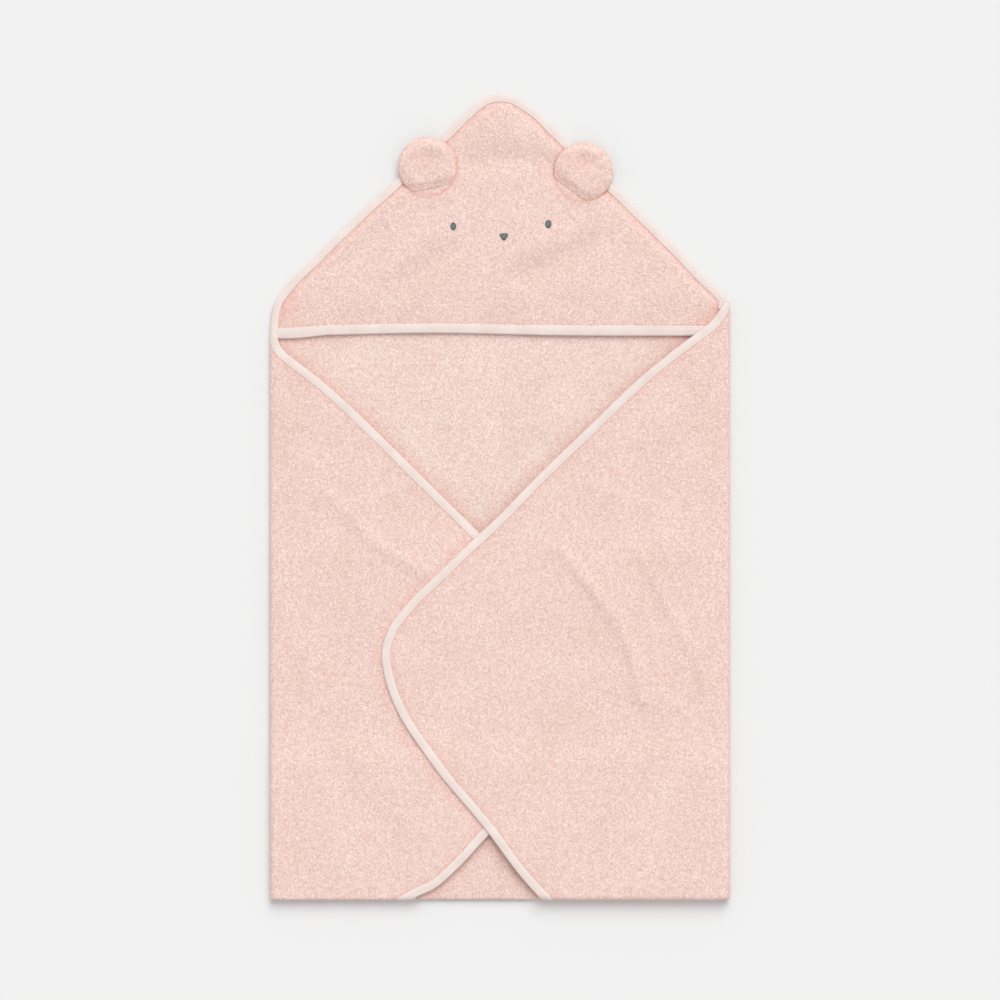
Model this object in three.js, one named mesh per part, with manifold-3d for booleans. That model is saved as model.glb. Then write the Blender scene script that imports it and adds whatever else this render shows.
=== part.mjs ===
import * as THREE from 'three';
import { mergeVertices } from 'three/addons/utils/BufferGeometryUtils.js';
import Module from 'manifold-3d';

// A hooded baby towel, folded flat: a square of terry on its corner, with the tail turned up inside,
// the two side corners folded over it, and a triangular hood with ears sewn over the top corner.
// Millimetres, +Z up, +Y towards the hood's peak. The origin is the middle of the folded towel's
// footprint, on the surface that it lies on.

// ---- Driving dimensions ----

const TOWEL_SIDE = 750; // side of the square, laid open
const FLAP_LAP = 117; // how far each side corner is folded past the middle
const TUCK_HEIGHT = 113; // how far up the side folds the turned-up tail reaches
const PEAK_RADIUS = 40; // rounded corner at the hood's peak
const CORNER_RADIUS = 60; // rounded corners of the flaps and the tail
const HOOD_DEPTH = 234; // from the square corner of the hood down to its open edge
const MOUTH_LIFT = 8; // how far the middle of the hood's open edge stands off the back
const MOUTH_RUN = 120; // how far up the hood that lift dies out

const TERRY = 2.4; // one layer of terry
const LAYER_GAP = 0.4; // air between one layer and the next
const CLIMB = 35; // length over which a layer climbs on to the edge of another
const CLIMB_MARGIN = 5; // how far short of that edge the climb is over

const BINDING_WIDTH = 10; // edging tape, as it shows from one side
const SEAM_WIDTH = 0.8; // row of sewing thread beside the tape
const SEAM_GAP = 0.3; // thread to tape, and thread to terry

const EAR_RADIUS = 26.5;
const EAR_BASE = 20.5; // middle of the ear to the line where it is sewn down
const EAR_TERRY = 2; // one layer of an ear, which is turned and pressed thin
const STITCH_HEIGHT = 0.8; // embroidery, above the terry

// Each side flap as it is laid by hand: how far its corner and the bottom end of its lower edge lie
// from where a perfectly square fold would put them.
const LEFT_LAY = { corner: [6, -20], bottom: 24 };
const RIGHT_LAY = { corner: [-12, 12], bottom: -58 };
const LEFT_FOLD_START = 10; // the left fold starts this far below the hood's open edge
const RIGHT_FOLD_START = 3; // the right flap's upper edge meets its fold this far above the shoulder

// Middle of each ear and each embroidered mark: across from the middle, and down from the peak.
const LEFT_EAR = { across: -65, down: 65, turn: 11 };
const RIGHT_EAR = { across: 75, down: 70, turn: -37 };
const LEFT_EYE = { across: -42, down: 119, width: 5.4, height: 7 };
const RIGHT_EYE = { across: 43.5, down: 117, width: 5.4, height: 7 };
const NOSE = { across: 3.5, down: 128, width: 7.6, height: 6.8 };

// ---- Sizes that follow ----

const HALF_DIAGONAL = TOWEL_SIDE / Math.SQRT2;
const HALF_WIDTH = (HALF_DIAGONAL - FLAP_LAP) / 2;
const TAIL_FOLD = HALF_WIDTH + TUCK_HEIGHT;
const ROUNDED_OFF = Math.SQRT2 - 1; // share of its radius that a rounded right angle falls short
const FOLDED_LENGTH = 2 * HALF_DIAGONAL - TAIL_FOLD - PEAK_RADIUS * ROUNDED_OFF;
const PEAK = FOLDED_LENGTH / 2;
const BOTTOM = -FOLDED_LENGTH / 2;
const HOOD_CORNER = PEAK + PEAK_RADIUS * ROUNDED_OFF;
const MIDDLE = HOOD_CORNER - HALF_DIAGONAL;
const SHOULDER = HOOD_CORNER - HALF_WIDTH;
const MOUTH = HOOD_CORNER - HOOD_DEPTH;
const TUCK_TOP = BOTTOM + TUCK_HEIGHT;
const TAIL_TIP = BOTTOM + TAIL_FOLD;
const TAIL_END = TAIL_TIP - CORNER_RADIUS * ROUNDED_OFF;

const PITCH = TERRY + LAYER_GAP;
const SEAM_EDGE = BINDING_WIDTH + SEAM_GAP;
const TERRY_EDGE = SEAM_EDGE + SEAM_WIDTH + SEAM_GAP;
const REACH = 2 * HALF_DIAGONAL; // longer than anything here, for cutting shapes

// How many layers each flap lies on: at the hood, in the open neck, over the tail, over the tuck.
const LEFT_LEVELS = [2, 1, 2, 3];
const RIGHT_LEVELS = [2, 2, 3, 4];
const TUCK_LEVEL = 2;

const topOf = (level) => level * PITCH + TERRY;
const rollDepth = (low, high) => (topOf(high) - low * PITCH) / 2;
const LEFT_FOLD_TOP = Math.min(SHOULDER, MOUTH - LEFT_FOLD_START);
const RIGHT_FOLD_TOP = SHOULDER + RIGHT_FOLD_START;
const LEFT_ROLL = rollDepth(0, LEFT_LEVELS[3]);
const RIGHT_ROLL = rollDepth(0, RIGHT_LEVELS[3]);
const TAIL_ROLL = rollDepth(0, 1);

// ---- Materials ----

const cloth = (name, color, roughness) =>
  new THREE.MeshStandardMaterial({ name, color, roughness, metalness: 0 });
const terryMaterial = cloth('terry', '#f3d6cc', 0.95);
const liningMaterial = cloth('inner_terry', '#f0d8cc', 0.95);
const tapeMaterial = cloth('binding', '#f0e6de', 0.8);
const threadMaterial = cloth('thread', '#f8f1ea', 0.6);
const embroideryMaterial = cloth('embroidery', '#4b4d4c', 0.6);

// ---- Solids ----

const wasm = await Module();
wasm.setup();

/** A closed three.js geometry as a solid that can be cut and joined. */
function solidOf(geometry) {
  const bare = geometry.clone();
  bare.deleteAttribute('normal');
  bare.deleteAttribute('uv');
  const merged = mergeVertices(bare, 1e-4);
  return new wasm.Manifold(
    new wasm.Mesh({
      numProp: 3,
      vertProperties: new Float32Array(merged.attributes.position.array),
      triVerts: new Uint32Array(merged.index.array),
    }),
  );
}

/** A solid as a three.js geometry with flat faces. */
function geometryOf(solid) {
  const mesh = solid.getMesh();
  const shared = new THREE.BufferGeometry();
  shared.setAttribute('position', new THREE.BufferAttribute(mesh.vertProperties.slice(), 3));
  shared.setIndex(new THREE.BufferAttribute(mesh.triVerts.slice(), 1));
  const geometry = shared.toNonIndexed();
  geometry.computeVertexNormals();
  return geometry;
}

/** Points and triangles as a geometry whose faces look outwards. */
function closedGeometry(points, triangles) {
  let volume = 0;
  for (const [a, b, c] of triangles) {
    volume += points[a].dot(new THREE.Vector3().crossVectors(points[b], points[c]));
  }
  const turned = volume < 0 ? triangles.map(([a, b, c]) => [a, c, b]) : triangles;
  const geometry = new THREE.BufferGeometry().setFromPoints(points);
  geometry.setIndex(turned.flat());
  return geometry;
}

/** A rectangular sheet over a grid, whose underside is at the height that the function gives. */
function sheet(xs, ys, underside, thickness) {
  const points = [];
  for (const rise of [0, thickness]) {
    for (const y of ys) {
      for (const x of xs) {
        points.push(new THREE.Vector3(x, y, underside(x, y) + rise));
      }
    }
  }
  const upper = xs.length * ys.length;
  const at = (column, row) => row * xs.length + column;
  const triangles = [];
  const quad = (a, b, c, d) => triangles.push([a, b, c], [a, c, d]);
  for (let row = 0; row + 1 < ys.length; row += 1) {
    for (let column = 0; column + 1 < xs.length; column += 1) {
      const [a, b] = [at(column, row), at(column + 1, row)];
      const [d, c] = [at(column, row + 1), at(column + 1, row + 1)];
      quad(upper + a, upper + b, upper + c, upper + d);
      quad(d, c, b, a);
    }
  }
  const last = [xs.length - 1, ys.length - 1];
  for (let column = 0; column < last[0]; column += 1) {
    quad(at(column, 0), at(column + 1, 0), upper + at(column + 1, 0), upper + at(column, 0));
    const [far, near] = [at(column, last[1]), at(column + 1, last[1])];
    quad(near, far, upper + far, upper + near);
  }
  for (let row = 0; row < last[1]; row += 1) {
    quad(at(0, row + 1), at(0, row), upper + at(0, row), upper + at(0, row + 1));
    const [low, high] = [at(last[0], row), at(last[0], row + 1)];
    quad(low, high, upper + high, upper + low);
  }
  return solidOf(closedGeometry(points, triangles));
}

/**
 * A rolled fold: a half ring of terry that joins the edge of one layer to the edge of a layer above
 * it. Each station gives the place along the fold and the heights that the ring spans, and place()
 * turns (outwards, along, height) into a point.
 */
function foldRoll(stations, depth, place) {
  const steps = 8;
  const points = [];
  for (const { along, low, high } of stations) {
    const middle = (low + high) / 2;
    const half = (high - low) / 2;
    for (const inside of [0, TERRY]) {
      for (let step = 0; step <= steps; step += 1) {
        const angle = (step / steps - 0.5) * Math.PI;
        const out = (depth - inside) * Math.cos(angle);
        points.push(place(out, along, middle + (half - inside) * Math.sin(angle)));
      }
    }
  }
  const ring = 2 * (steps + 1);
  const triangles = [];
  const quad = (a, b, c, d) => triangles.push([a, b, c], [a, c, d]);
  const order = [];
  for (let step = 0; step <= steps; step += 1) {
    order.push(step);
  }
  for (let step = steps; step >= 0; step -= 1) {
    order.push(steps + 1 + step);
  }
  for (let station = 0; station + 1 < stations.length; station += 1) {
    for (let side = 0; side < ring; side += 1) {
      const [from, to] = [order[side], order[(side + 1) % ring]];
      const [here, there] = [station * ring, (station + 1) * ring];
      quad(here + from, here + to, there + to, there + from);
    }
  }
  const end = (stations.length - 1) * ring;
  for (let step = 0; step < steps; step += 1) {
    const [a, b, c, d] = [step, step + 1, steps + 2 + step, steps + 1 + step];
    quad(d, c, b, a);
    quad(end + a, end + b, end + c, end + d);
  }
  return closedGeometry(points, triangles);
}

// ---- Outlines: corners run anticlockwise, and each has a radius ----

const ARC_STEPS = 16; // straight stretches to a half turn

/** The points of an outline, with its rounded corners as arcs. */
function outlinePoints(corners) {
  const points = [];
  corners.forEach(({ x, y, r = 0 }, index) => {
    const corner = new THREE.Vector2(x, y);
    if (r <= 0) {
      points.push(corner);
      return;
    }
    const before = corners[(index + corners.length - 1) % corners.length];
    const after = corners[(index + 1) % corners.length];
    const back = new THREE.Vector2(before.x - x, before.y - y).normalize();
    const on = new THREE.Vector2(after.x - x, after.y - y).normalize();
    const half = Math.acos(THREE.MathUtils.clamp(back.dot(on), -1, 1)) / 2;
    const centre = back.clone().add(on).normalize();
    centre.multiplyScalar(r / Math.sin(half)).add(corner);
    const first = corner.clone().addScaledVector(back, r / Math.tan(half)).sub(centre);
    const sweep = Math.PI - 2 * half;
    const steps = Math.max(3, Math.round((sweep * ARC_STEPS) / Math.PI));
    for (let step = 0; step <= steps; step += 1) {
      points.push(first.clone().rotateAround(new THREE.Vector2(), (sweep * step) / steps).add(centre));
    }
  });
  return points;
}

/** An outline with each edge moved inwards by its own amount. Edge n runs from corner n to n + 1. */
function moveIn(corners, amounts) {
  const edges = corners.map(({ x, y }, index) => {
    const next = corners[(index + 1) % corners.length];
    const along = new THREE.Vector2(next.x - x, next.y - y).normalize();
    const inwards = new THREE.Vector2(-along.y, along.x);
    return { start: new THREE.Vector2(x, y).addScaledVector(inwards, amounts[index]), along };
  });
  return corners.map(({ r = 0 }, index) => {
    const here = edges[index];
    const before = edges[(index + edges.length - 1) % edges.length];
    const between = here.start.clone().sub(before.start);
    const travel = between.cross(here.along) / before.along.cross(here.along);
    const point = before.start.clone().addScaledVector(before.along, travel);
    return { x: point.x, y: point.y, r: Math.max(0, r - amounts[index]) };
  });
}

/** A prism that stands on an outline. */
function prism(corners, low = -REACH, high = REACH) {
  const shape = new THREE.Shape(outlinePoints(corners));
  const geometry = new THREE.ExtrudeGeometry(shape, { depth: high - low, bevelEnabled: false });
  geometry.translate(0, 0, low);
  return solidOf(geometry);
}

/** A prism on a rectangle. */
function block(left, bottom, right, top) {
  return prism([
    { x: left, y: bottom },
    { x: right, y: bottom },
    { x: right, y: top },
    { x: left, y: top },
  ]);
}

const group = new THREE.Group();

/** Adds one named piece of the towel. */
function piece(name, geometry, material, parent = group) {
  const mesh = new THREE.Mesh(geometry, material);
  mesh.name = name;
  parent.add(mesh);
  return mesh;
}

/**
 * Cuts a layer into terry, a row of thread and edging tape. `bound` says which edges carry tape, and
 * `trims` how much the other edges give up to the fold beside them.
 */
function boundLayer(names, layer, corners, bound, trims, material = terryMaterial) {
  const edges = (width) => bound.map((taped, index) => (taped ? width : trims[index]));
  const within = (width) => layer.intersect(prism(moveIn(corners, edges(width))));
  const tape = within(0).subtract(prism(moveIn(corners, bound.map((x) => (x ? BINDING_WIDTH : -1)))));
  const outside = bound.map((taped) => (taped ? SEAM_EDGE + SEAM_WIDTH : -1));
  const thread = within(SEAM_EDGE).subtract(prism(moveIn(corners, outside)));
  piece(names.panel, geometryOf(within(TERRY_EDGE)), material);
  piece(names.binding, geometryOf(tape), tapeMaterial);
  piece(names.seam, geometryOf(thread), threadMaterial);
}

// ---- The stack: heights of the layers that lie over one another ----

/** Where a flap changes level on its way from the hood to the bottom fold, as [y, level]. */
function climbs([atHood, inNeck, overTail, overTuck]) {
  return [
    [BOTTOM, overTuck],
    [TUCK_TOP + CLIMB_MARGIN, overTuck],
    [TUCK_TOP + CLIMB_MARGIN + CLIMB, overTail],
    [TAIL_END + CLIMB_MARGIN, overTail],
    [TAIL_END + CLIMB_MARGIN + CLIMB, inNeck],
    [MOUTH - CLIMB_MARGIN - CLIMB, inNeck],
    [MOUTH - CLIMB_MARGIN, atHood],
    [PEAK, atHood],
  ];
}

/** The height of a flap's underside at one y. */
function undersideAt(y, levels) {
  const steps = climbs(levels);
  const index = Math.max(1, steps.findIndex(([stepY]) => stepY >= y));
  const [[y0, level0], [y1, level1]] = [steps[index - 1], steps[index]];
  const share = THREE.MathUtils.clamp((y - y0) / (y1 - y0), 0, 1);
  return PITCH * THREE.MathUtils.lerp(level0, level1, share);
}

const flatLayer = (level) => sheet([-REACH, REACH], [-REACH, REACH], () => level * PITCH, TERRY);

// ---- Side flaps, each with the tuck that the turned-up tail leaves inside it ----

/**
 * One side flap, with its rolled folds and its tuck. `side` is -1 on the left and 1 on the right, and
 * `foldTop` is where the flap's upper edge meets its fold. Returns the top of the rolled fold.
 */
function sideFlap(name, side, lay, levels, roll, foldTop) {
  const fold = side * HALF_WIDTH;
  const corner = { x: fold - side * (HALF_DIAGONAL - HALF_WIDTH) + lay.corner[0] };
  corner.y = MIDDLE + lay.corner[1];
  corner.r = CORNER_RADIUS;
  const lowerEnd = { x: side * (HALF_WIDTH - TUCK_HEIGHT) + lay.bottom, y: BOTTOM };
  const bottomCorner = { x: fold, y: BOTTOM };
  const endRoll = rollDepth(TUCK_LEVEL, levels[3]);
  const trims = [endRoll + SEAM_GAP, roll + SEAM_GAP];

  const turn = (corners, edges) => (side > 0 ? [corners, edges] : mirrored(corners, edges));
  const ys = climbs(levels).map(([y]) => y);
  const layer = sheet([-REACH, REACH], ys, (x, y) => undersideAt(y, levels), TERRY);
  const [flap, flapEdges] = turn(
    [lowerEnd, bottomCorner, { x: fold, y: foldTop }, corner],
    [{ trim: trims[0] }, { trim: trims[1] }, { taped: true }, { taped: true }],
  );
  boundLayer(
    { panel: `${name}_flap_panel`, binding: `${name}_flap_binding`, seam: `${name}_flap_seam` },
    layer,
    flap,
    flapEdges.map(({ taped = false }) => taped),
    flapEdges.map(({ trim = 0 }) => trim),
  );
  const [tuck, tuckEdges] = turn(
    [lowerEnd, bottomCorner, { x: fold, y: TUCK_TOP }],
    [{ trim: trims[0] }, { trim: trims[1] }, { taped: true }],
  );
  boundLayer(
    { panel: `${name}_tuck_panel`, binding: `${name}_tuck_binding`, seam: `${name}_tuck_seam` },
    flatLayer(TUCK_LEVEL),
    tuck,
    tuckEdges.map(({ taped = false }) => taped),
    tuckEdges.map(({ trim = 0 }) => trim),
  );

  const top = Math.min(foldTop, SHOULDER) - SEAM_GAP;
  const inside = ys.filter((y) => y < top - SEAM_GAP && y > BOTTOM);
  const stations = [BOTTOM, ...inside, top].map((y) => ({
    along: y,
    low: 0,
    high: undersideAt(y, levels) + TERRY,
  }));
  const sideways = (out, along, z) => new THREE.Vector3(fold + side * (out - roll), along, z);
  piece(`${name}_side_fold`, foldRoll(stations, roll, sideways), terryMaterial);

  const spans = [lowerEnd.x, fold - side * (roll + SEAM_GAP)].map((x) => ({
    along: x,
    low: TUCK_LEVEL * PITCH,
    high: topOf(levels[3]),
  }));
  const down = (out, along, z) => new THREE.Vector3(along, BOTTOM + endRoll - out, z);
  piece(`${name}_flap_end_fold`, foldRoll(spans, endRoll, down), terryMaterial);
  return top;
}

/** The same outline on the other hand, still anticlockwise, with each edge's notes kept beside it. */
function mirrored(corners, edges) {
  const count = corners.length;
  return [
    corners.map((_, index) => corners[count - 1 - index]),
    edges.map((_, index) => edges[(2 * count - 2 - index) % count]),
  ];
}

const leftRollTop = sideFlap('left', -1, LEFT_LAY, LEFT_LEVELS, LEFT_ROLL, LEFT_FOLD_TOP);
const rightRollTop = sideFlap('right', 1, RIGHT_LAY, RIGHT_LEVELS, RIGHT_ROLL, RIGHT_FOLD_TOP);

// ---- Back, with the tail turned up along the bottom fold ----

const BACK = [
  { x: -HALF_WIDTH, y: BOTTOM },
  { x: HALF_WIDTH, y: BOTTOM },
  { x: HALF_WIDTH, y: SHOULDER },
  { x: 0, y: HOOD_CORNER, r: PEAK_RADIUS },
  { x: -HALF_WIDTH, y: SHOULDER },
];
const backTrims = [
  TAIL_ROLL + SEAM_GAP,
  RIGHT_ROLL + SEAM_GAP,
  TERRY_EDGE,
  TERRY_EDGE,
  LEFT_ROLL + SEAM_GAP,
];
const backTerry = flatLayer(0).intersect(prism(moveIn(BACK, backTrims)));
const backClearance = block(-REACH, leftRollTop - SEAM_GAP, TERRY_EDGE - HALF_WIDTH, REACH);
piece('back_panel', geometryOf(backTerry.subtract(backClearance)), liningMaterial);

const TAIL = [
  { x: -HALF_WIDTH, y: BOTTOM },
  { x: HALF_WIDTH, y: BOTTOM },
  { x: HALF_WIDTH, y: TUCK_TOP },
  { x: 0, y: TAIL_TIP, r: CORNER_RADIUS },
  { x: -HALF_WIDTH, y: TUCK_TOP },
];
boundLayer(
  { panel: 'tail_panel', binding: 'tail_binding', seam: 'tail_seam' },
  flatLayer(1),
  TAIL,
  [false, false, true, true, false],
  [TAIL_ROLL + SEAM_GAP, RIGHT_ROLL + SEAM_GAP, 0, 0, LEFT_ROLL + SEAM_GAP],
);

const tailSpan = [LEFT_ROLL + SEAM_GAP - HALF_WIDTH, HALF_WIDTH - RIGHT_ROLL - SEAM_GAP];
piece(
  'tail_fold',
  foldRoll(
    tailSpan.map((x) => ({ along: x, low: 0, high: topOf(1) })),
    TAIL_ROLL,
    (out, along, z) => new THREE.Vector3(along, BOTTOM + TAIL_ROLL - out, z),
  ),
  terryMaterial,
);

// ---- Hood: a triangle of terry over the top corner, open along its lower edge ----

/** Half the width of the stretch of the hood's edge that stands open, clear of the right flap. */
function mouthHalfWidth() {
  const rise = RIGHT_FOLD_TOP - (MIDDLE + RIGHT_LAY.corner[1]);
  const run = HALF_DIAGONAL - HALF_WIDTH - RIGHT_LAY.corner[0];
  const flapEdge = HALF_WIDTH - ((RIGHT_FOLD_TOP - MOUTH) * run) / rise - BINDING_WIDTH;
  return Math.min(flapEdge, HOOD_DEPTH - TERRY_EDGE * Math.SQRT2);
}

const MOUTH_HALF = mouthHalfWidth();

/** How far the hood stands off the back: most at the middle of its open edge, nothing at the seams. */
function hoodLift(x, y) {
  const across = Math.max(0, 1 - (x / MOUTH_HALF) ** 2);
  return MOUTH_LIFT * across * THREE.MathUtils.clamp((MOUTH + MOUTH_RUN - y) / MOUTH_RUN, 0, 1);
}

/** Evenly spaced values from one number to another. */
function spread(from, to, steps) {
  return Array.from({ length: steps + 1 }, (_, index) => from + ((to - from) * index) / steps);
}

const hoodXs = [-REACH, ...spread(-MOUTH_HALF, MOUTH_HALF, 14), REACH];
const hoodYs = [-REACH, ...spread(MOUTH, MOUTH + MOUTH_RUN, 6), REACH];
const hoodLayer = (rise, thickness) =>
  sheet(hoodXs, hoodYs, (x, y) => PITCH + hoodLift(x, Math.max(MOUTH, y)) + rise, thickness);
const hoodTerry = hoodLayer(0, TERRY);

const hoodSides = [0, RIGHT_ROLL + SEAM_GAP, TERRY_EDGE, TERRY_EDGE, TERRY_EDGE];
const hoodInside = hoodTerry.intersect(prism(moveIn(BACK, hoodSides)));

/** The part of the hood between two distances from its open edge. */
const hoodBand = (near, far) => hoodInside.intersect(block(-REACH, MOUTH + near, REACH, MOUTH + far));

piece('hood_panel', geometryOf(hoodBand(TERRY_EDGE, REACH)), terryMaterial);
piece('hood_mouth_binding', geometryOf(hoodBand(0, BINDING_WIDTH)), tapeMaterial);
piece('hood_mouth_seam', geometryOf(hoodBand(SEAM_EDGE, SEAM_EDGE + SEAM_WIDTH)), threadMaterial);

/** A ring round the hood's outer edges, through both layers, between two distances from the edge. */
function hoodRim(near, far) {
  const both = sheet([-REACH, REACH], [-REACH, REACH], () => 0, topOf(1));
  const ring = prism(moveIn(BACK, [0, 0, near, near, near])).subtract(
    prism(moveIn(BACK, [-1, -1, far, far, far])),
  );
  const low = Math.min(leftRollTop, rightRollTop) + SEAM_GAP;
  const kept = block(-REACH, low, 0, REACH).add(block(-1, rightRollTop + SEAM_GAP, REACH, REACH));
  return both.intersect(ring).intersect(kept);
}

piece('hood_binding', geometryOf(hoodRim(0, BINDING_WIDTH)), tapeMaterial);
piece('hood_seam', geometryOf(hoodRim(SEAM_EDGE, SEAM_EDGE + SEAM_WIDTH)), threadMaterial);

// ---- Embroidered eyes and nose ----

const stitches = hoodLayer(TERRY + SEAM_GAP, STITCH_HEIGHT);

/** An embroidered mark whose outline is the given function of the angle round it. */
function mark(name, { across, down, width, height }, radius) {
  const corners = spread(0, 2 * Math.PI, 20).slice(0, -1).map((angle) => ({
    x: across + (width / 2) * radius(angle) * Math.cos(angle),
    y: PEAK - down + (height / 2) * radius(angle) * Math.sin(angle),
  }));
  piece(name, geometryOf(stitches.intersect(prism(corners))), embroideryMaterial);
}

mark('left_eye', LEFT_EYE, () => 1);
mark('right_eye', RIGHT_EYE, () => 1);
// A triangle with its point down and its corners well rounded.
mark('nose', NOSE, (angle) => 0.92 + 0.1 * Math.sin(3 * angle));

// ---- Ears: two layers of terry, sewn down along a straight base ----

/** One ear. Its own frame has the base along X and the round top towards +Y. */
function ear(name, { across, down, turn }) {
  const half = Math.acos(EAR_BASE / EAR_RADIUS);
  const shape = new THREE.Shape();
  shape.absarc(0, 0, EAR_RADIUS, half - Math.PI / 2, 1.5 * Math.PI - half, false);
  shape.closePath();
  const holder = new THREE.Group();
  const lowest = PEAK - down - EAR_RADIUS;
  const seat = PITCH + hoodLift(Math.abs(across) - EAR_RADIUS, lowest) + TERRY + LAYER_GAP;
  holder.position.set(across, PEAK - down, seat);
  holder.rotation.z = THREE.MathUtils.degToRad(turn);
  ['back', 'front'].forEach((layer, index) => {
    const options = { depth: EAR_TERRY, bevelEnabled: false, curveSegments: 28 };
    const geometry = new THREE.ExtrudeGeometry(shape, options);
    const disc = piece(`${name}_ear_${layer}`, geometry, terryMaterial, holder);
    disc.position.z = index * (EAR_TERRY + LAYER_GAP);
  });
  group.add(holder);
}

ear('left', LEFT_EAR);
ear('right', RIGHT_EAR);

export default group;
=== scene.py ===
# %% [markdown]
# # A hooded baby towel, folded
#
# The towel is one square of terry, bound with tape all the way round, with a small hood sewn over one
# corner. It lies folded: the tail is turned up inside, the left side is folded over it and the right
# side over both. Every layer here is cloth worked out on a grid, so that it has two faces, a pile and
# an edge, and the layers that bend at a fold are made in one piece with it.

import bmesh
import bpy
import numpy as np
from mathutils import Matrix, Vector


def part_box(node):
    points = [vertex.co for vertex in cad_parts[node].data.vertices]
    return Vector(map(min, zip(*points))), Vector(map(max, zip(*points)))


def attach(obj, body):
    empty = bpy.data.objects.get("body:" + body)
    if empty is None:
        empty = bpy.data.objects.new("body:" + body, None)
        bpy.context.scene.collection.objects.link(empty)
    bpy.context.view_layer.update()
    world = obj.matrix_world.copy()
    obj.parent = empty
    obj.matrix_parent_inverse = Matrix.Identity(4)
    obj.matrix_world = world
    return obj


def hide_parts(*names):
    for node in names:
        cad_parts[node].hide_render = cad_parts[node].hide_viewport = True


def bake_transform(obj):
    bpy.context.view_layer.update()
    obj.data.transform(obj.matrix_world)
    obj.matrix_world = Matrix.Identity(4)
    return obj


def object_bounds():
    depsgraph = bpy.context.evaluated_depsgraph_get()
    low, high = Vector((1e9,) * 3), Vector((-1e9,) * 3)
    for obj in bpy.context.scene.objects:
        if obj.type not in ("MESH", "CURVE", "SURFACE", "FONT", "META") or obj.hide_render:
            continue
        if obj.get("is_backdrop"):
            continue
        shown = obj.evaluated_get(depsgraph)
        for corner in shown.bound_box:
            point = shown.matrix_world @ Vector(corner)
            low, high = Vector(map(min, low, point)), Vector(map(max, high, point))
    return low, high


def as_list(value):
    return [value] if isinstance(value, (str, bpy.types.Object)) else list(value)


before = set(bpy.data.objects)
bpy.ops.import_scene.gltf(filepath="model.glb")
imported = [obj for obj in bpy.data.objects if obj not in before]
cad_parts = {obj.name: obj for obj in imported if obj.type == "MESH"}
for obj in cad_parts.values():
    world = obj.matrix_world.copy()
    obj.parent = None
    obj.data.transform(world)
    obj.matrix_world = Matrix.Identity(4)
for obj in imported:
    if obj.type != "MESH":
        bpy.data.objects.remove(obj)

cad_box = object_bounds()
print("frame box, m:", [[round(x, 4) for x in corner] for corner in cad_box])

# %% [markdown]
# ## Camera
#
# The towel is seen from straight above. A short lens would show the sides of the layers away from the
# middle, so the camera stands high up with a long lens, which is close to a view without perspective.

# %% Camera
VIEW_WIDTH = 0.9
CAMERA_HEIGHT = 7.0
SENSOR = 36.0

lens = bpy.data.cameras.new("camera")
lens.sensor_width = SENSOR
lens.lens = SENSOR * CAMERA_HEIGHT / VIEW_WIDTH
lens.clip_end = 60
camera = bpy.data.objects.new("camera", lens)
camera.location = (0, -0.0028, CAMERA_HEIGHT)
bpy.context.scene.collection.objects.link(camera)
bpy.context.scene.camera = camera
print("camera lens, mm:", round(lens.lens, 1))

# %% [markdown]
# ## Sizes
#
# The frame gives the places of the folds. Shapes are worked out in millimetres and turned to metres
# when a mesh is made.

# %% Sizes, in millimetres
MM = 0.001
HALF_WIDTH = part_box("right_side_fold")[1].x / MM
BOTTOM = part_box("tail_fold")[0].y / MM
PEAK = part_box("hood_binding")[1].y / MM
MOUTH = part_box("hood_mouth_binding")[0].y / MM
TUCK_HEIGHT = 113
TUCK_TOP = BOTTOM + TUCK_HEIGHT
TERRY = 2.4
HALF = TERRY / 2
PITCH = 2.8  # one layer and the air over it
print("half width", round(HALF_WIDTH, 1), "bottom", round(BOTTOM, 1), "peak", round(PEAK, 1))

# %% [markdown]
# ## Numbers for cloth
#
# Cloth needs smooth steps, soft noise for the pile, soft ridges for wrinkles, and smooth lines for its
# edges. Each of these works on whole arrays at once.

# %% Smooth steps and soft noise
def smooth(share):
    """0 to 1 with level ends: three times the square less twice the cube."""
    share = np.clip(share, 0, 1)
    return share * share * (3 - 2 * share)


def ease(value, start, end):
    """0 before start, 1 after end, and a smooth step between them."""
    return smooth((value - start) / (end - start))


def noise(u, v, size, seed):
    """Between -1 and 1: random heights on a lattice, mixed smoothly from the four round a point."""
    table = np.random.default_rng(seed).uniform(-1, 1, (512, 512))
    a, b = u / size, v / size
    i, j = np.floor(a).astype(int), np.floor(b).astype(int)
    s, t = smooth(a - i), smooth(b - j)

    def at(di, dj):
        return table[(i + di) % 512, (j + dj) % 512]

    near = at(0, 0) * (1 - s) + at(1, 0) * s
    far = at(0, 1) * (1 - s) + at(1, 1) * s
    return near * (1 - t) + far * t


print("a smooth step at a quarter, half and three quarters:", smooth(np.array([0.25, 0.5, 0.75])))

# %% Wrinkles, heights and lines
def wrinkles(x, y, ridges):
    """Ridges are (points, width, height): height times a bell curve of the distance off the line."""
    total = np.zeros(np.broadcast(x, y).shape)
    for points, width, height in ridges:
        nearest = np.full(total.shape, np.inf)
        for (ax, ay), (bx, by) in zip(points[:-1], points[1:]):
            dx, dy = bx - ax, by - ay
            share = np.clip(((x - ax) * dx + (y - ay) * dy) / (dx * dx + dy * dy), 0, 1)
            nearest = np.minimum(nearest, (x - ax - share * dx) ** 2 + (y - ay - share * dy) ** 2)
        total = total + height * np.exp(-nearest / width**2)
    return total


def climb(y, stations):
    """Height at y: from each station (y, height) to the next one in a smooth step."""
    ys, heights = np.array(stations, float).T
    i = np.clip(np.searchsorted(ys, y, side="right") - 1, 0, len(ys) - 2)
    return heights[i] + (heights[i + 1] - heights[i]) * smooth((y - ys[i]) / (ys[i + 1] - ys[i]))


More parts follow.
